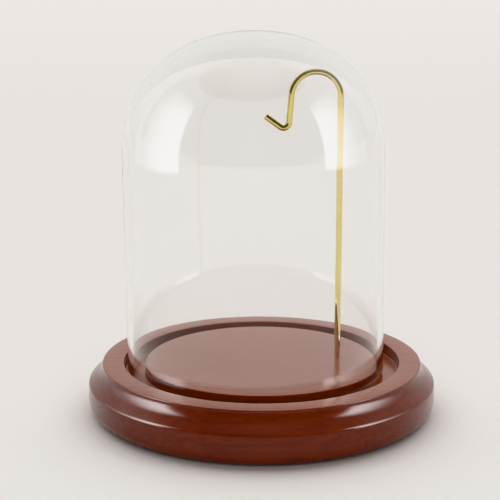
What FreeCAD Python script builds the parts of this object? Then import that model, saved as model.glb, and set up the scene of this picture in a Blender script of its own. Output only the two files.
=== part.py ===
import FreeCAD, Part
import math
import os

from FreeCAD import Vector

# Display dome for a pocket watch or a small ornament: a blown glass bell jar that stands in the groove
# of a turned wooden base, over a bent brass wire hook plugged into the base.
# Millimetres, +Z up. The origin is on the base's own axis, in the plane that the felt rests on.
# The hook's arm points to -X.

# Felt pad under the base
FELT_RADIUS = 45.6
FELT_THICKNESS = 0.5

# Turned base: a foot with a well rounded bottom edge, a plain band, a soft lip, and a cove up to the flat top.
# The cove's leans are taken from upright, at its top and at its bottom.
BASE_TOP = 15.4
BASE_RADIUS = 51.25
FOOT_ROUND = 4.4
LIP_ROUND = 1.2
COVE_RADIUS = 4.8
COVE_TOP_LEAN = 5.0
COVE_FOOT_LEAN = 50.0
RING_RADIUS = 47.1
EDGE_ROUND = 0.3

# Groove that the glass stands in, and the flat platform inside it
GROOVE_OUTER = 40.75
GROOVE_INNER = 34.4
GROOVE_DEPTH = 3.3
GROOVE_CORNER = 0.5

# Blown glass dome: a straight cylinder with a high round crown and a fire-polished rim. The rim isn't quite
# square, so the glass leans a little to -X about the low side of its rim. Its top is stated before it leans.
GLASS_RADIUS = 37.9
GLASS_WALL = 1.6
GLASS_TOP = 111.7
GLASS_LEAN = 0.6
CROWN_HEIGHT = 36.2
CROWN_FULLNESS = 0.61
GLASS_OFFSET = -1.7
SEAT_GAP = 0.05

# Brass wire hook: its stem stands in a blind hole drilled beside the middle of the platform
WIRE_RADIUS = 0.9
WIRE_CHAMFER = 0.15
STEM_X = 22.7
STEM_Y = 1.5
STEM_FOOT = 7.5
ARCH_SPRING = 93.35
ARCH_RADIUS = 7.1
LEG_LEAN = 4.5
LEG_LENGTH = 8.15
CATCH_RADIUS = 1.65
CATCH_RISE = 36.0
CATCH_LENGTH = 5.2

# Hole for the stem
HOLE_CLEARANCE = 0.03
HOLE_END_GAP = 0.2
DRILL_POINT_ANGLE = 118.0

FULL_TURN = 360.0
AXIS = Vector(0, 0, 1)


def at(radius, height):
    """A point of a turned outline, in the half plane that is spun about Z."""
    return Vector(radius, 0, height)


def line(start, end):
    return Part.LineSegment(start, end).toShape()


def arc(centre, radius, first, last):
    """A round stretch of an outline, between two angles in degrees, 0 pointing away from the axis."""

    def on_circle(angle):
        turn = math.radians(angle)
        return centre + Vector(radius * math.cos(turn), 0, radius * math.sin(turn))

    return Part.Arc(on_circle(first), on_circle((first + last) / 2), on_circle(last)).toShape()


def joined(pieces):
    """Closes the gaps between arcs with straight lines, and returns one closed wire.

    Each piece is an edge or a point, in order round the outline."""
    edges = []
    ends = []
    for piece in pieces:
        if isinstance(piece, Vector):
            ends.append((piece, piece))
        else:
            ends.append((piece.valueAt(piece.FirstParameter), piece.valueAt(piece.LastParameter)))
    for index, piece in enumerate(pieces):
        if not isinstance(piece, Vector):
            edges.append(piece)
        gap_start = ends[index][1]
        gap_end = ends[(index + 1) % len(pieces)][0]
        if (gap_end - gap_start).Length > 1e-6:
            edges.append(line(gap_start, gap_end))
    return Part.Wire(edges)


def turned(outline):
    """The solid that a closed outline sweeps in one turn about Z."""
    return Part.Face(outline).revolve(Vector(0, 0, 0), AXIS, FULL_TURN)


def felt_pad():
    return Part.makeCylinder(FELT_RADIUS, FELT_THICKNESS)


def stem_hole():
    """The drilled hole, with the cone that the drill's point leaves at its end."""
    radius = WIRE_RADIUS + HOLE_CLEARANCE
    floor = STEM_FOOT - HOLE_END_GAP
    point = radius / math.tan(math.radians(DRILL_POINT_ANGLE / 2))
    bore = Part.makeCylinder(radius, BASE_TOP + 1 - floor, Vector(STEM_X, STEM_Y, floor))
    cone = Part.makeCone(0, radius, point, Vector(STEM_X, STEM_Y, floor - point))
    return bore.fuse(cone)


def outward(angle):
    """A unit step away from the axis, raised by an angle in degrees."""
    return at(math.cos(math.radians(angle)), math.sin(math.radians(angle)))


def moulding():
    """The base's side above its plain band: lip, cove and ring edge, each smooth to the next."""
    ring_centre = at(RING_RADIUS - EDGE_ROUND, BASE_TOP - EDGE_ROUND)
    cove_centre = ring_centre + outward(COVE_TOP_LEAN) * (EDGE_ROUND + COVE_RADIUS)
    # The lip's round touches the line that leaves the cove's foot
    lean = outward(COVE_FOOT_LEAN)
    lip_across = BASE_RADIUS - LIP_ROUND
    drop = (LIP_ROUND + COVE_RADIUS + (lip_across - cove_centre.x) * lean.x) / lean.z
    lip = arc(at(lip_across, cove_centre.z - drop), LIP_ROUND, 0, COVE_FOOT_LEAN)
    cove = arc(cove_centre, COVE_RADIUS, 180 + COVE_FOOT_LEAN, 180 + COVE_TOP_LEAN)
    ring_edge = arc(ring_centre, EDGE_ROUND, COVE_TOP_LEAN, 90)
    return [lip, cove, ring_edge]


def wood_base():
    """One piece of wood turned on a lathe: foot, band, lip, cove, flat ring, groove and platform."""
    groove_floor = BASE_TOP - GROOVE_DEPTH
    foot = arc(at(BASE_RADIUS - FOOT_ROUND, FELT_THICKNESS + FOOT_ROUND), FOOT_ROUND, -90, 0)
    groove_edge = arc(at(GROOVE_OUTER + EDGE_ROUND, BASE_TOP - EDGE_ROUND), EDGE_ROUND, 90, 180)
    outer_corner = arc(at(GROOVE_OUTER - GROOVE_CORNER, groove_floor + GROOVE_CORNER), GROOVE_CORNER, 0, -90)
    inner_corner = arc(at(GROOVE_INNER + GROOVE_CORNER, groove_floor + GROOVE_CORNER), GROOVE_CORNER, 270, 180)
    platform_edge = arc(at(GROOVE_INNER - EDGE_ROUND, BASE_TOP - EDGE_ROUND), EDGE_ROUND, 0, 90)
    outline = joined(
        [
            at(0, FELT_THICKNESS),
            foot,
            *moulding(),
            groove_edge,
            outer_corner,
            inner_corner,
            platform_edge,
            at(0, BASE_TOP),
        ]
    )
    return turned(outline).cut(stem_hole())


def crown(radius, height):
    """The dome's outline from the top of its straight wall to its axis, fuller than an ellipse."""
    wall_top = GLASS_TOP - CROWN_HEIGHT
    curve = Part.BezierCurve()
    curve.setPoles(
        [
            at(radius, wall_top),
            at(radius, wall_top + CROWN_FULLNESS * height),
            at(CROWN_FULLNESS * radius, wall_top + height),
            at(0, wall_top + height),
        ]
    )
    return curve.toShape()


def glass_dome():
    """A blown shell of even wall, standing a little to one side of its groove, as a loose dome does."""
    rim = BASE_TOP - GROOVE_DEPTH + SEAT_GAP
    rim_round = GLASS_WALL / 2
    inner_radius = GLASS_RADIUS - GLASS_WALL
    wall_top = GLASS_TOP - CROWN_HEIGHT
    outer_crown = crown(GLASS_RADIUS, CROWN_HEIGHT)
    inner_crown = crown(inner_radius, CROWN_HEIGHT - GLASS_WALL)
    rim_arc = arc(at(inner_radius + rim_round, rim + rim_round), rim_round, 180, 360)
    outline = Part.Wire(
        [
            rim_arc,
            line(at(GLASS_RADIUS, rim + rim_round), at(GLASS_RADIUS, wall_top)),
            outer_crown,
            line(at(0, GLASS_TOP), at(0, GLASS_TOP - GLASS_WALL)),
            inner_crown,
            line(at(inner_radius, wall_top), at(inner_radius, rim + rim_round)),
        ]
    )
    dome = turned(outline)
    dome.translate(Vector(GLASS_OFFSET, 0, 0))
    low_side = Vector(GLASS_OFFSET - inner_radius - rim_round, 0, rim + rim_round)
    dome.rotate(low_side, Vector(0, 1, 0), -GLASS_LEAN)
    return dome


def hook_path():
    """The wire's centre line: up the stem, over the arch, down the leg and round into the catch.

    It is walked like a bend schedule, as straight lengths and bends in the hook's own upright plane,
    with the heading in degrees above +X. A positive turn is anticlockwise, seen from -Y."""
    place = Vector(STEM_X, STEM_Y, STEM_FOOT)
    heading = 90.0
    schedule = [
        ("straight", ARCH_SPRING - STEM_FOOT),
        ("bend", ARCH_RADIUS, 180 - LEG_LEAN),
        ("straight", LEG_LENGTH),
        ("bend", CATCH_RADIUS, -(90 - LEG_LEAN + CATCH_RISE)),
        ("straight", CATCH_LENGTH),
    ]
    edges = []
    for step in schedule:
        if step[0] == "straight":
            along = Vector(math.cos(math.radians(heading)), 0, math.sin(math.radians(heading)))
            end = place + along * step[1]
            edges.append(line(place, end))
        else:
            radius, turn = step[1], step[2]
            side = math.radians(heading + math.copysign(90, turn))
            centre = place + Vector(radius * math.cos(side), 0, radius * math.sin(side))
            start_angle = math.degrees(side) + 180
            bend = arc(centre, radius, start_angle, start_angle + turn)
            edges.append(bend)
            end = bend.valueAt(bend.LastParameter)
            heading += turn
        place = end
    return Part.Wire(edges)


def brass_hook():
    """A length of round brass wire, bent cold, with its two cut ends eased."""
    path = hook_path()
    section = Part.Wire([Part.makeCircle(WIRE_RADIUS, Vector(STEM_X, STEM_Y, STEM_FOOT), AXIS)])
    wire = path.makePipeShell([section], True, True)
    cut_ends = [face for face in wire.Faces if isinstance(face.Surface, Part.Plane)]
    end_edges = [edge for face in cut_ends for edge in face.Edges]
    return wire.makeChamfer(WIRE_CHAMFER, end_edges)


PARTS = {
    "felt_pad": felt_pad,
    "wood_base": wood_base,
    "brass_hook": brass_hook,
    "glass_dome": glass_dome,
}

os.makedirs("parts", exist_ok=True)
for name, make in PARTS.items():
    shape = make()
    if not shape.isValid():
        raise ValueError(name + " is not a valid shape")
    shape.exportStep(os.path.join("parts", name + ".step"))
    box = shape.BoundBox
    print(
        name,
        "solids", len(shape.Solids),
        "volume", round(shape.Volume, 1),
        "x", round(box.XMin, 2), round(box.XMax, 2),
        "y", round(box.YMin, 2), round(box.YMax, 2),
        "z", round(box.ZMin, 2), round(box.ZMax, 2),
    )
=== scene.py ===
import math

import bpy
import bmesh
from mathutils import Matrix, Vector, noise


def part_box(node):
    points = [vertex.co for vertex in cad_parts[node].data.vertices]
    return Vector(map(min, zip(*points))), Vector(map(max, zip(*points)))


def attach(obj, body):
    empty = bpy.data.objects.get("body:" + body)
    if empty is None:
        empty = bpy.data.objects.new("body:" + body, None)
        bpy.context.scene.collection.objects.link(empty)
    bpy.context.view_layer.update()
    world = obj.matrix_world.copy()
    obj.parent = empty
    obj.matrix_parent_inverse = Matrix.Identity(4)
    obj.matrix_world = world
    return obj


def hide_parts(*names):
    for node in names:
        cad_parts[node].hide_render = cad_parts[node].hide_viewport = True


# A glass display dome on a turned, stained wooden base, over a bent brass wire hook.
# Everything is in metres, +Z up. The hook's arm points to -X, and the camera looks along +Y.

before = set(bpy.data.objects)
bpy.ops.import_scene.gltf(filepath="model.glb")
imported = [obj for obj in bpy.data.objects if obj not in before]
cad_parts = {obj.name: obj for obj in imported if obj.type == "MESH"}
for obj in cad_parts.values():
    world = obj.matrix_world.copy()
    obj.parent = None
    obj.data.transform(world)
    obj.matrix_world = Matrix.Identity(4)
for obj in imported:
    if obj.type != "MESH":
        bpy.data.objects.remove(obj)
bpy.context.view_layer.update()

MM = 0.001

# ---------------------------------------------------------------- sizes
# Places come from the CAD boxes. What a box can't tell is named here, as it is on the drawing.

FELT_LOW, FELT_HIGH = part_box("felt_pad")
WOOD_LOW, WOOD_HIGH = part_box("wood_base")
HOOK_LOW, HOOK_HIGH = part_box("brass_hook")

BASE_RADIUS = WOOD_HIGH.x
BASE_TOP = WOOD_HIGH.z
BASE_BOTTOM = WOOD_LOW.z
FOOT_ROUND = 4.4 * MM
LIP_ROUND = 1.2 * MM
COVE_RADIUS = 4.8 * MM
COVE_TOP_LEAN = 5.0
COVE_FOOT_LEAN = 50.0
RING_RADIUS = 47.1 * MM
EDGE_ROUND = 0.3 * MM
GROOVE_OUTER = 40.75 * MM
GROOVE_INNER = 34.4 * MM
GROOVE_FLOOR = BASE_TOP - 3.3 * MM
GROOVE_CORNER = 0.5 * MM

GLASS_RADIUS = 37.9 * MM
GLASS_OFFSET = -1.7 * MM
GLASS_TOP = 111.7 * MM
GLASS_RIM = GROOVE_FLOOR + 0.05 * MM
GLASS_LEAN = math.radians(0.6)
GLASS_WALL = 1.6 * MM
CROWN_HEIGHT = 36.2 * MM
CROWN_FULLNESS = 0.61

WIRE_RADIUS = (HOOK_HIGH.y - HOOK_LOW.y) / 2
WIRE_CHAMFER = 0.15 * MM
STEM_X = HOOK_HIGH.x - WIRE_RADIUS
STEM_Y = (HOOK_HIGH.y + HOOK_LOW.y) / 2
STEM_FOOT = HOOK_LOW.z
ARCH_RADIUS = 7.1 * MM
ARCH_SPRING = HOOK_HIGH.z - WIRE_RADIUS - ARCH_RADIUS
LEG_LEAN = math.radians(4.5)
LEG_LENGTH = 8.15 * MM
CATCH_RADIUS = 1.65 * MM
CATCH_RISE = math.radians(36.0)
CATCH_LENGTH = 5.2 * MM
HOLE_RADIUS = WIRE_RADIUS + 0.03 * MM
HOLE_FLOOR = STEM_FOOT - 0.2 * MM
DRILL_POINT_ANGLE = math.radians(118.0)

FELT_RADIUS = FELT_HIGH.x
FELT_TOP = FELT_HIGH.z

# Small things that the drawing leaves out: the blown glass's unevenness and the felt's worn edge
GLASS_DENT = 0.015 * MM
DENT_SPACING = 26 * MM
INNER_SIDE_SHIFT = 90 * MM
FELT_LOW_ROUND = 0.3 * MM
FELT_TOP_ROUND = 0.2 * MM
FELT_FRAY = 0.25 * MM
FRAY_SPACING = 0.8 * MM

# How finely each stretch of a mesh is divided
GLASS_SIDES = 320
CROWN_STEPS = 72
WALL_STEPS = 40
RIM_STEPS = 16
BASE_SIDES = 360
FOOT_STEPS = 18
LIP_STEPS = 10
COVE_STEPS = 24
CORNER_STEPS = 6
UNDERSIDE_STEPS = 8
PLATFORM_STEPS = 16
DRILL_SIDES = 48
WIRE_SIDES = 32
FELT_SIDES = 720
FELT_STEPS = 20
FELT_CORNER_STEPS = 4

# The studio. A lamp's glow is the radiance of its face.
FLOOR_RADIUS = 6.0
FLOOR_SIDES = 96
SOFTBOX_TALL = 0.44
SOFTBOX_GLOW = 11.0
FILL_GLOW = 1.30
CEILING_GLOW = 1.22
CAMERA_PLACE = (-3.4 * MM, -401.67 * MM, 141.15 * MM)
CAMERA_PITCH_DOWN = 13.0
CAMERA_LENS_MM = 101.36
CAMERA_SENSOR_MM = 36.0


# ---------------------------------------------------------------- node helpers


class Tree:
    """The node tree of a material, a lamp or the world, with short ways to add nodes to it."""

    def __init__(self, owner):
        owner.use_nodes = True
        self.tree = owner.node_tree
        self.tree.nodes.clear()

    def add(self, kind, inputs=None, **settings):
        """A node of that kind. Each input is a plain value or another node's output."""
        node = self.tree.nodes.new(kind)
        for name, value in settings.items():
            setattr(node, name, value)
        for name, value in (inputs or {}).items():
            self.feed(node.inputs[name], value)
        return node

    def feed(self, socket, value):
        if isinstance(value, bpy.types.NodeSocket):
            self.tree.links.new(value, socket)
        else:
            socket.default_value = value

    def calc(self, operation, first, second=0.0, third=0.0):
        """The result of one piece of arithmetic."""
        return self.add("ShaderNodeMath", {0: first, 1: second, 2: third}, operation=operation).outputs[0]

    def step(self, value, start, end, low=0.0, high=1.0):
        """A smooth change from low to high, as value goes from start to end."""
        node = self.add(
            "ShaderNodeMapRange",
            {"Value": value, "From Min": start, "From Max": end, "To Min": low, "To Max": high},
            interpolation_type="SMOOTHSTEP",
        )
        return node.outputs["Result"]

    def product(self, first, second):
        return self.calc("MULTIPLY", first, second)

    def blend(self, factor, first, second):
        """A mix of two colours."""
        node = self.add("ShaderNodeMix", data_type="RGBA")
        self.feed(node.inputs["Factor"], factor)
        self.feed(node.inputs[6], first)
        self.feed(node.inputs[7], second)
        return node.outputs[2]

    def choice(self, factor, first, second):
        """One shader where factor is 0 and the other where it is 1."""
        return self.add("ShaderNodeMixShader", {0: factor, 1: first, 2: second}).outputs[0]

    def noise(self, place, scale, detail, roughness=0.5):
        """Cloudy unevenness from 0 to 1, with about scale clouds to each unit of place."""
        node = self.add(
            "ShaderNodeTexNoise",
            {"Vector": place, "Scale": scale, "Detail": detail, "Roughness": roughness},
        )
        return node.outputs["Fac"]

    def millimetres(self, stretch=(1, 1, 1)):
        """The place on the object in millimetres, divided along each axis by stretch."""
        place = self.add("ShaderNodeTexCoord").outputs["Object"]
        scale = tuple(1 / MM / s for s in stretch)
        return self.add("ShaderNodeMapping", {"Vector": place, "Scale": scale}).outputs[0]

    def bump(self, height, distance, strength=1.0, normal=None):
        inputs = {"Height": height, "Distance": distance, "Strength": strength}
        if normal is not None:
            inputs["Normal"] = normal
        return self.add("ShaderNodeBump", inputs).outputs[0]


def new_material(name):
    material = bpy.data.materials.new(name)
    return material, Tree(material)


def colour(red, green, blue):
    return (red, green, blue, 1.0)


# ---------------------------------------------------------------- materials


def glass_material():
    """Clear blown soda glass, faintly green where it is seen edge on, with a little dust and handling."""
    material, t = new_material("clear_glass")
    place = t.millimetres()
    sway = t.noise(place, 0.045, 1.0)
    grit = t.noise(place, 1.6, 4.0, 0.7)
    specks = t.step(grit, 0.70, 0.80)
    roughness = t.calc("MULTIPLY_ADD", specks, 0.10, 0.004)
    normal = t.bump(sway, 0.25 * MM, 0.05)
    shader = t.add(
        "ShaderNodeBsdfPrincipled",
        {
            "Base Color": colour(0.997, 0.997, 0.995),
            "Roughness": roughness,
            "IOR": 1.50,
            "Transmission Weight": 1.0,
            "Normal": normal,
        },
    )
    clear = t.add("ShaderNodeBsdfTransparent", {"Color": colour(0.955, 0.965, 0.958)})
    # Shadows and the light between plain surfaces pass straight through the glass
    path = t.add("ShaderNodeLightPath").outputs
    surface = t.choice(path["Is Shadow Ray"], shader.outputs[0], clear.outputs[0])
    surface = t.choice(path["Is Diffuse Ray"], surface, clear.outputs[0])
    tint = t.add("ShaderNodeVolumeAbsorption", {"Color": colour(0.72, 0.95, 0.78), "Density": 10.0})
    t.add("ShaderNodeOutputMaterial", {"Surface": surface, "Volume": tint.outputs[0]})
    return material


def wood_material():
    """Mahogany-stained close-grained hardwood under a semi-gloss varnish."""
    material, t = new_material("stained_wood")
    fibres = t.millimetres((22, 1, 1))
    place = t.millimetres()
    broad = t.noise(place, 0.03, 2.0)
    streak = t.noise(fibres, 0.9, 5.0, 0.6)
    pore = t.noise(t.millimetres((3.5, 0.30, 0.30)), 1.0, 1.0)
    pores = t.step(pore, 0.66, 0.74)
    grain = t.calc("MULTIPLY_ADD", streak, 0.7, t.product(broad, 0.3))
    grain = t.step(grain, 0.35, 0.65)
    # Two copies of one wood colour: the darker for the sides, the lighter painted on the flat faces as if
    # lit from above
    side = t.blend(grain, colour(0.120, 0.015, 0.004), colour(0.165, 0.024, 0.006))
    painted_lit_top = t.blend(grain, colour(0.200, 0.036, 0.010), colour(0.260, 0.052, 0.015))
    # Painted light: faces that look up get the lighter copy of the wood's colour, standing in for the light
    # that falls on them from above, and the sides keep the darker copy
    outward = t.add("ShaderNodeTexCoord").outputs["Normal"]
    painted_light_mask = t.add("ShaderNodeSeparateXYZ", {0: outward}).outputs[2]
    body = t.blend(t.step(painted_light_mask, 0.80, 0.98), side, painted_lit_top)
    body = t.blend(t.product(pores, 0.55), body, colour(0.08, 0.009, 0.003))
    peel = t.noise(place, 1.3, 2.0)
    skin = t.bump(peel, 0.010 * MM, 0.3)
    normal = t.bump(t.calc("MULTIPLY_ADD", pores, -0.6, streak), 0.02 * MM, 0.5, skin)
    shader = t.add(
        "ShaderNodeBsdfPrincipled",
        {
            # the wood's colour, carrying the painted lighter top
            "Base Color": body,
            "Roughness": 0.45,
            "IOR": 1.5,
            "Specular IOR Level": 0.05,
            "Coat Weight": 1.0,
            "Coat Roughness": 0.19,
            "Coat IOR": 1.55,
            "Normal": normal,
            "Coat Normal": skin,
        },
    )
    t.add("ShaderNodeOutputMaterial", {"Surface": shader.outputs[0]})
    return material


def brass_material():
    """Bright drawn brass wire, a little tarnished."""
    material, t = new_material("bright_brass")
    place = t.millimetres()
    cloud = t.noise(place, 0.35, 3.0)
    lines = t.noise(t.millimetres((0.12, 0.12, 6)), 1.0, 2.0)
    tone = t.blend(cloud, colour(0.74, 0.60, 0.20), colour(0.86, 0.76, 0.34))
    roughness = t.calc("MULTIPLY_ADD", cloud, 0.06, 0.03)
    shader = t.add(
        "ShaderNodeBsdfPrincipled",
        {
            "Base Color": tone,
            "Metallic": 1.0,
            "Roughness": roughness,
            "Normal": t.bump(lines, 0.01 * MM, 0.4),
        },
    )
    t.add("ShaderNodeOutputMaterial", {"Surface": shader.outputs[0]})
    return material


def felt_material():
    """Dark brown pressed felt."""
    material, t = new_material("dark_felt")
    place = t.millimetres()
    fluff = t.noise(place, 2.2, 6.0, 0.7)
    cloud = t.noise(place, 0.12, 2.0)
    tone = t.blend(t.step(fluff, 0.3, 0.7), colour(0.012, 0.008, 0.007), colour(0.045, 0.032, 0.028))
    tone = t.blend(t.product(cloud, 0.4), tone, colour(0.020, 0.012, 0.010))
    shader = t.add(
        "ShaderNodeBsdfPrincipled",
        {
            "Base Color": tone,
            "Roughness": 0.95,
            "Specular IOR Level": 0.1,
            "Sheen Weight": 0.5,
            "Sheen Roughness": 0.5,
            "Sheen Tint": colour(0.5, 0.45, 0.42),
            "Normal": t.bump(fluff, 0.3 * MM, 0.8),
        },
    )
    t.add("ShaderNodeOutputMaterial", {"Surface": shader.outputs[0]})
    return material


def floor_material():
    """A plain pale tabletop."""
    material, t = new_material("pale_floor")
    shader = t.add(
        "ShaderNodeBsdfPrincipled",
        {"Base Color": colour(0.80, 0.770, 0.752), "Roughness": 0.9, "Specular IOR Level": 0.0},
    )
    t.add("ShaderNodeOutputMaterial", {"Surface": shader.outputs[0]})
    return material


# ---------------------------------------------------------------- outlines


def arc(centre, radius, first, last, steps):
    """Points of a round stretch of an outline, between two angles in degrees, both ends kept."""
    points = []
    for i in range(steps + 1):
        turn = math.radians(first + (last - first) * i / steps)
        points.append((centre[0] + radius * math.cos(turn), centre[1] + radius * math.sin(turn)))
    return points


def straight(start, end, steps):
    """Points between two ends of a straight stretch, without the ends themselves."""
    points = []
    for i in range(1, steps):
        share = i / steps
        points.append((start[0] + (end[0] - start[0]) * share, start[1] + (end[1] - start[1]) * share))
    return points


def crown(radius, height):
    """The dome's outline from the top of its straight wall to its axis, fuller than an ellipse."""
    foot = GLASS_TOP - CROWN_HEIGHT
    reach = CROWN_FULLNESS
    points = []
    for i in range(CROWN_STEPS + 1):
        u = i / CROWN_STEPS
        v = 1 - u
        across = v**3 + 3 * v**2 * u + 3 * v * u**2 * reach
        up = 3 * v**2 * u * reach + 3 * v * u**2 + u**3
        points.append((radius * across, foot + height * up))
    return points


def spin(name, outline, sides, shape=None):
    """A closed mesh of one turn of an outline, whose first and last points are on the axis.

    shape may move each point: it is given the point and its place along the outline, from 0 to 1."""
    mesh = bpy.data.meshes.new(name)
    made = bmesh.new()
    rings = []
    for index, (radius, height) in enumerate(outline):
        share = index / (len(outline) - 1)
        if index in (0, len(outline) - 1):
            rings.append([made.verts.new((0, 0, height))])
            continue
        ring = []
        for i in range(sides):
            turn = 2 * math.pi * i / sides
            point = Vector((radius * math.cos(turn), radius * math.sin(turn), height))
            if shape is not None:
                point = shape(point, share)
            ring.append(made.verts.new(point))
        rings.append(ring)
    for lower, upper in zip(rings, rings[1:]):
        for i in range(sides):
            j = (i + 1) % sides
            if len(lower) == 1:
                made.faces.new((lower[0], upper[j], upper[i]))
            elif len(upper) == 1:
                made.faces.new((lower[i], lower[j], upper[0]))
            else:
                made.faces.new((lower[i], lower[j], upper[j], upper[i]))
    bmesh.ops.recalc_face_normals(made, faces=made.faces)
    made.to_mesh(mesh)
    made.free()
    return mesh


def placed(mesh, material, body, node, sharp=None):
    """Makes a mesh into the piece that stands for a CAD node and rides on its body.

    It is shaded smooth, apart from the edges that turn by more than sharp degrees."""
    mesh.shade_smooth()
    if sharp is not None:
        mesh.set_sharp_from_angle(angle=math.radians(sharp))
    mesh.materials.append(material)
    piece = bpy.data.objects.new(mesh.name, mesh)
    bpy.context.scene.collection.objects.link(piece)
    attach(piece, body)
    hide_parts(node)
    return piece


# ---------------------------------------------------------------- pieces


def glass_dome():
    """The blown shell: outer surface, fire-polished rim and inner surface, each a little uneven."""
    wall_top = GLASS_TOP - CROWN_HEIGHT
    half_wall = GLASS_WALL / 2
    inner_radius = GLASS_RADIUS - GLASS_WALL
    rim_height = GLASS_RIM + half_wall
    outline = crown(GLASS_RADIUS, CROWN_HEIGHT)[::-1]
    outline += straight((GLASS_RADIUS, wall_top), (GLASS_RADIUS, rim_height), WALL_STEPS)
    outline += arc((inner_radius + half_wall, rim_height), half_wall, 0, -180, RIM_STEPS)
    outline += straight((inner_radius, rim_height), (inner_radius, wall_top), WALL_STEPS)
    outline += crown(inner_radius, CROWN_HEIGHT - GLASS_WALL)

    def blown(point, share):
        """Moves a point in towards the axis by the unevenness of blown glass. The two sides differ."""
        shift = 0 if share < 0.5 else INNER_SIDE_SHIFT
        spot = Vector((point.x, point.y, point.z + shift)) / DENT_SPACING
        dent = GLASS_DENT * (0.5 + 0.5 * noise.noise(spot))
        return point * (1 - dent / GLASS_RADIUS) + Vector((0, 0, point.z * dent / GLASS_RADIUS))

    mesh = spin("glass_shell", outline, GLASS_SIDES, blown)
    low_side = Vector((GLASS_OFFSET - inner_radius - half_wall, 0, rim_height))
    lean = Matrix.Rotation(-GLASS_LEAN, 4, "Y") @ Matrix.Translation(-low_side)
    mesh.transform(Matrix.Translation(low_side) @ lean @ Matrix.Translation((GLASS_OFFSET, 0, 0)))
    return placed(mesh, glass_material(), "dome", "glass_dome")


def moulding():
    """The base's side from its plain band up to its flat top: lip, cove and ring edge."""
    top_lean = math.radians(COVE_TOP_LEAN)
    foot_lean = math.radians(COVE_FOOT_LEAN)
    reach = EDGE_ROUND + COVE_RADIUS
    ring = (RING_RADIUS - EDGE_ROUND, BASE_TOP - EDGE_ROUND)
    cove = (ring[0] + reach * math.cos(top_lean), ring[1] + reach * math.sin(top_lean))
    lip_across = BASE_RADIUS - LIP_ROUND
    drop = (LIP_ROUND + COVE_RADIUS + (lip_across - cove[0]) * math.cos(foot_lean)) / math.sin(foot_lean)
    outline = arc((lip_across, cove[1] - drop), LIP_ROUND, 0, COVE_FOOT_LEAN, LIP_STEPS)
    outline += arc(cove, COVE_RADIUS, 180 + COVE_FOOT_LEAN, 180 + COVE_TOP_LEAN, COVE_STEPS)
    outline += arc(ring, EDGE_ROUND, COVE_TOP_LEAN, 90, CORNER_STEPS)[1:]
    return outline


def drilled(mesh):
    """A copy of the base's mesh with the hook's hole cut in it."""
    point = HOLE_RADIUS / math.tan(DRILL_POINT_ANGLE / 2)
    above = BASE_TOP + 1 * MM
    outline = [(0, HOLE_FLOOR - point), (HOLE_RADIUS, HOLE_FLOOR), (HOLE_RADIUS, above), (0, above)]
    drill = spin("drill", outline, DRILL_SIDES)
    drill.transform(Matrix.Translation((STEM_X, STEM_Y, 0)))
    pieces = [bpy.data.objects.new(each.name, each) for each in (mesh, drill)]
    for piece in pieces:
        bpy.context.scene.collection.objects.link(piece)
    hole = pieces[0].modifiers.new("hole", "BOOLEAN")
    hole.operation = "DIFFERENCE"
    hole.object = pieces[1]
    graph = bpy.context.evaluated_depsgraph_get()
    cut = bpy.data.meshes.new_from_object(pieces[0].evaluated_get(graph))
    for piece in pieces:
        bpy.data.objects.remove(piece)
    bpy.data.meshes.remove(drill)
    bpy.data.meshes.remove(mesh)
    return cut


def wood_base():
    """The turned base: foot, band, lip, cove, flat ring, groove, platform and the hook's hole."""
    foot = (BASE_RADIUS - FOOT_ROUND, BASE_BOTTOM + FOOT_ROUND)
    groove_edge = (GROOVE_OUTER + EDGE_ROUND, BASE_TOP - EDGE_ROUND)
    outer_corner = (GROOVE_OUTER - GROOVE_CORNER, GROOVE_FLOOR + GROOVE_CORNER)
    inner_corner = (GROOVE_INNER + GROOVE_CORNER, GROOVE_FLOOR + GROOVE_CORNER)
    platform_edge = (GROOVE_INNER - EDGE_ROUND, BASE_TOP - EDGE_ROUND)
    outline = [(0, BASE_BOTTOM)]
    outline += straight((0, BASE_BOTTOM), (foot[0], BASE_BOTTOM), UNDERSIDE_STEPS)
    outline += arc(foot, FOOT_ROUND, -90, 0, FOOT_STEPS)
    outline += moulding()
    outline += arc(groove_edge, EDGE_ROUND, 90, 180, CORNER_STEPS)
    outline += arc(outer_corner, GROOVE_CORNER, 0, -90, CORNER_STEPS)
    outline += arc(inner_corner, GROOVE_CORNER, 270, 180, CORNER_STEPS)
    outline += arc(platform_edge, EDGE_ROUND, 0, 90, CORNER_STEPS)
    outline += straight((platform_edge[0], BASE_TOP), (0, BASE_TOP), PLATFORM_STEPS)
    outline += [(0, BASE_TOP)]
    mesh = drilled(spin("turned_base_blank", outline, BASE_SIDES))
    mesh.name = "turned_base"
    return placed(mesh, wood_material(), "base", "wood_base", sharp=35)


def headed(heading):
    """A unit step in the hook's upright plane, at an angle above +X."""
    return Vector((math.cos(heading), 0, math.sin(heading)))


def hook_line():
    """The wire's centre line as points with headings, up the stem, over the arch and into the catch."""
    place = Vector((STEM_X, STEM_Y, STEM_FOOT))
    heading = math.pi / 2
    line = [(place.copy(), heading)]

    def forward(distance, steps):
        along = headed(heading)
        for i in range(1, steps + 1):
            line.append((place + along * distance * i / steps, heading))
        return place + along * distance

    def bend(radius, turn, steps):
        side = heading + math.copysign(math.pi / 2, turn)
        centre = place + radius * headed(side)
        for i in range(1, steps + 1):
            turned = turn * i / steps
            line.append((centre + radius * headed(side + math.pi + turned), heading + turned))
        return line[-1]

    place = forward(ARCH_SPRING - STEM_FOOT, steps=90)
    place, heading = bend(ARCH_RADIUS, math.pi - LEG_LEAN, steps=60)
    place = forward(LEG_LENGTH, steps=10)
    place, heading = bend(CATCH_RADIUS, -(math.pi / 2 - LEG_LEAN + CATCH_RISE), steps=40)
    forward(CATCH_LENGTH, steps=8)
    return line


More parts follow.
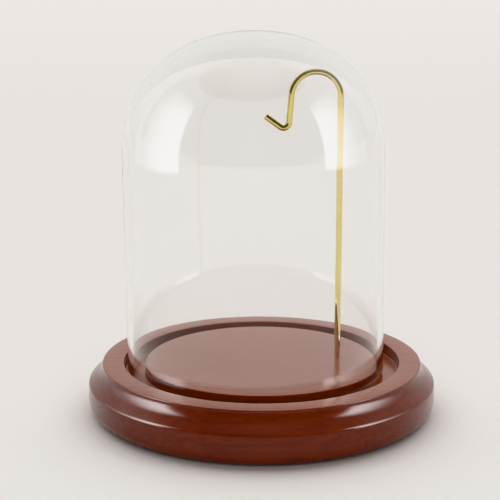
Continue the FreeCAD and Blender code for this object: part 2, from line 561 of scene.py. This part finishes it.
def wire_sections():
    """Sections along the hook's line, each a place, a heading and a radius, chamfered at both cut ends."""
    sections = [(place, heading, WIRE_RADIUS) for place, heading in hook_line()]
    eased = WIRE_RADIUS - WIRE_CHAMFER
    start, start_heading, _ = sections[0]
    end, end_heading, _ = sections[-1]
    sections[0] = (start + headed(start_heading) * WIRE_CHAMFER, start_heading, WIRE_RADIUS)
    sections[-1] = (end - headed(end_heading) * WIRE_CHAMFER, end_heading, WIRE_RADIUS)
    return [(start, start_heading, eased), *sections, (end, end_heading, eased)]


def brass_hook():
    """A round wire swept along the hook's line, with its two cut ends chamfered."""
    made = bmesh.new()
    rings = []
    sideways = Vector((0, 1, 0))
    for place, heading, radius in wire_sections():
        across = Vector((-math.sin(heading), 0, math.cos(heading)))
        ring = []
        for i in range(WIRE_SIDES):
            turn = 2 * math.pi * i / WIRE_SIDES
            outward = math.cos(turn) * across + math.sin(turn) * sideways
            ring.append(made.verts.new(place + radius * outward))
        rings.append(ring)
    for first, second in zip(rings, rings[1:]):
        for i in range(WIRE_SIDES):
            j = (i + 1) % WIRE_SIDES
            made.faces.new((first[i], first[j], second[j], second[i]))
    made.faces.new(rings[0])
    made.faces.new(rings[-1])
    bmesh.ops.recalc_face_normals(made, faces=made.faces)
    mesh = bpy.data.meshes.new("wire_hook")
    made.to_mesh(mesh)
    made.free()
    return placed(mesh, brass_material(), "hook", "brass_hook", sharp=30)


def felt_pad():
    """The felt disc, with a soft, uneven edge."""
    low_edge = (FELT_RADIUS - FELT_LOW_ROUND, FELT_LOW_ROUND)
    top_edge = (FELT_RADIUS - FELT_TOP_ROUND, FELT_TOP - FELT_TOP_ROUND)
    outline = [(0, 0)]
    outline += straight((0, 0), (FELT_RADIUS, 0), FELT_STEPS)
    outline += arc(low_edge, FELT_LOW_ROUND, -90, 0, FELT_CORNER_STEPS)
    outline += arc(top_edge, FELT_TOP_ROUND, 0, 90, FELT_CORNER_STEPS)
    outline += straight((FELT_RADIUS, FELT_TOP), (0, FELT_TOP), FELT_STEPS)
    outline += [(0, FELT_TOP)]

    def frayed(point, _share):
        """Pulls a point in towards the axis, by more or less from place to place."""
        pull = FELT_FRAY * (0.5 + 0.5 * noise.noise(point / FRAY_SPACING))
        return Vector((point.x * (1 - pull / FELT_RADIUS), point.y * (1 - pull / FELT_RADIUS), point.z))

    mesh = spin("felt_disc", outline, FELT_SIDES, frayed)
    return placed(mesh, felt_material(), "base", "felt_pad", sharp=50)


# ---------------------------------------------------------------- studio


def studio_floor():
    """A broad, plain, round floor, level with the felt's underside."""
    mesh = bpy.data.meshes.new("studio_floor")
    made = bmesh.new()
    bmesh.ops.create_circle(made, cap_ends=True, radius=FLOOR_RADIUS, segments=FLOOR_SIDES)
    made.to_mesh(mesh)
    made.free()
    mesh.materials.append(floor_material())
    floor = bpy.data.objects.new("studio_floor", mesh)
    bpy.context.scene.collection.objects.link(floor)
    floor.location.z = FELT_LOW.z


def studio_world():
    """A room, by direction: a bright backdrop behind, a lit ceiling, dim sides and a dark front.

    Directions are in degrees: off_front from -Y, where the view is from, and height above the horizon."""
    world = bpy.data.worlds.new("studio")
    bpy.context.scene.world = world
    t = Tree(world)
    towards = t.add("ShaderNodeTexCoord").outputs["Generated"]
    x, y, z = t.add("ShaderNodeSeparateXYZ", {0: towards}).outputs
    to_degrees = 180 / math.pi
    height = t.product(t.calc("ARCSINE", z), to_degrees)
    off_front = t.calc("ABSOLUTE", t.product(t.calc("ARCTAN2", x, t.product(y, -1.0)), to_degrees))
    side = t.step(off_front, 50, 110, 0.07, 0.42)
    ceiling = t.step(height, 60, 80, 0.0, 0.55)
    # A bright strip of wall over the floor's far edge, left out in front, where the glass would show it
    horizon = t.product(t.step(height, 2.5, 5.0, 0.8, 0.0), t.step(off_front, 35, 70))
    room = t.calc("MAXIMUM", t.calc("MAXIMUM", side, ceiling), horizon)
    # The backdrop is as bright as the floor where they meet, and dims high up
    behind = t.step(off_front, 105, 125)
    foot = t.step(height, 1.2, 1.8, 0.82, 0.86)
    high_up = t.step(height, 44, 52, 1.0, 0.83)
    backdrop = t.product(behind, t.product(foot, high_up))
    brightness = t.calc("MAXIMUM", room, backdrop)
    tone = t.blend(brightness, colour(0, 0, 0), colour(0.985, 0.962, 0.933))
    sky = t.add("ShaderNodeBackground", {"Color": tone, "Strength": 1.0})
    t.add("ShaderNodeOutputWorld", {"Surface": sky.outputs[0]})


def area_light(name, place, target, width, height, glow):
    """A flat lamp that faces its target and is never seen directly."""
    data = bpy.data.lights.new(name, "AREA")
    data.shape = "RECTANGLE"
    data.size = width
    data.size_y = height
    data.energy = glow * math.pi * width * height
    light = bpy.data.objects.new(name, data)
    bpy.context.scene.collection.objects.link(light)
    light.location = place
    light.rotation_euler = (Vector(target) - Vector(place)).to_track_quat("-Z", "Y").to_euler()
    light.visible_camera = False
    light.visible_transmission = False
    return light


def graded(light, front_edge):
    """Fades a softbox towards its rear and its top. front_edge is 0 or 1, its front side across its face."""
    light.data.use_nodes = True
    t = Tree(light.data)
    spot = t.add("ShaderNodeNewGeometry").outputs["Parametric"]
    across, up, _ = t.add("ShaderNodeSeparateXYZ", {0: spot}).outputs
    rearward = t.calc("ABSOLUTE", t.calc("SUBTRACT", across, front_edge))
    spread = t.product(t.step(rearward, 0.0, 0.08), t.step(rearward, 0.10, 0.85, 1.0, 0.06))
    rise = t.product(t.step(up, 0.0, 0.04, 0.3, 1.0), t.step(up, 0.45, 1.0, 1.0, 0.0))
    strength = t.product(spread, rise)
    glow = t.add("ShaderNodeEmission", {"Color": colour(0.96, 0.98, 1.0), "Strength": strength})
    t.add("ShaderNodeOutputLight", {"Surface": glow.outputs[0]})


def studio_lights():
    """A softbox at each side, seen only in the gloss, and two soft lights that leave no gloss."""
    left = area_light(
        "left_softbox",
        place=(-0.36, 0.0, 0.24),
        target=(0.0, 0.0, 0.24),
        width=0.38,
        height=SOFTBOX_TALL,
        glow=SOFTBOX_GLOW,
    )
    graded(left, front_edge=1.0)
    right = area_light(
        "right_softbox",
        place=(0.36, -0.05, 0.256),
        target=(0.0, -0.05, 0.256),
        width=0.34,
        height=SOFTBOX_TALL,
        glow=SOFTBOX_GLOW,
    )
    graded(right, front_edge=0.0)
    for light in (left, right):
        light.visible_diffuse = False
    fill = area_light(
        "front_fill",
        place=(0.0, -1.2, 0.60),
        target=(0.0, 0.0, 0.0),
        width=2.4,
        height=1.0,
        glow=FILL_GLOW,
    )
    ceiling = area_light(
        "ceiling_light",
        place=(0.0, 4.5, 4.0),
        target=(0.0, 4.5, 0.0),
        width=10.0,
        height=10.0,
        glow=CEILING_GLOW,
    )
    for light in (fill, ceiling):
        light.visible_glossy = False


def camera():
    """The view from a little above, pitched down on to the dome."""
    data = bpy.data.cameras.new("view")
    data.lens = CAMERA_LENS_MM
    data.sensor_width = CAMERA_SENSOR_MM
    view = bpy.data.objects.new("view", data)
    bpy.context.scene.collection.objects.link(view)
    view.location = CAMERA_PLACE
    view.rotation_euler = (math.radians(90 - CAMERA_PITCH_DOWN), 0, 0)
    bpy.context.scene.camera = view


felt_pad()
wood_base()
brass_hook()
glass_dome()
studio_floor()
studio_world()
studio_lights()
camera()
bpy.context.scene.view_settings.view_transform = "Khronos PBR Neutral"

# Light crosses four glass surfaces on its way through the dome, and is reflected between them
bpy.context.scene.cycles.max_bounces = 24
bpy.context.scene.cycles.glossy_bounces = 16
bpy.context.scene.cycles.transmission_bounces = 24
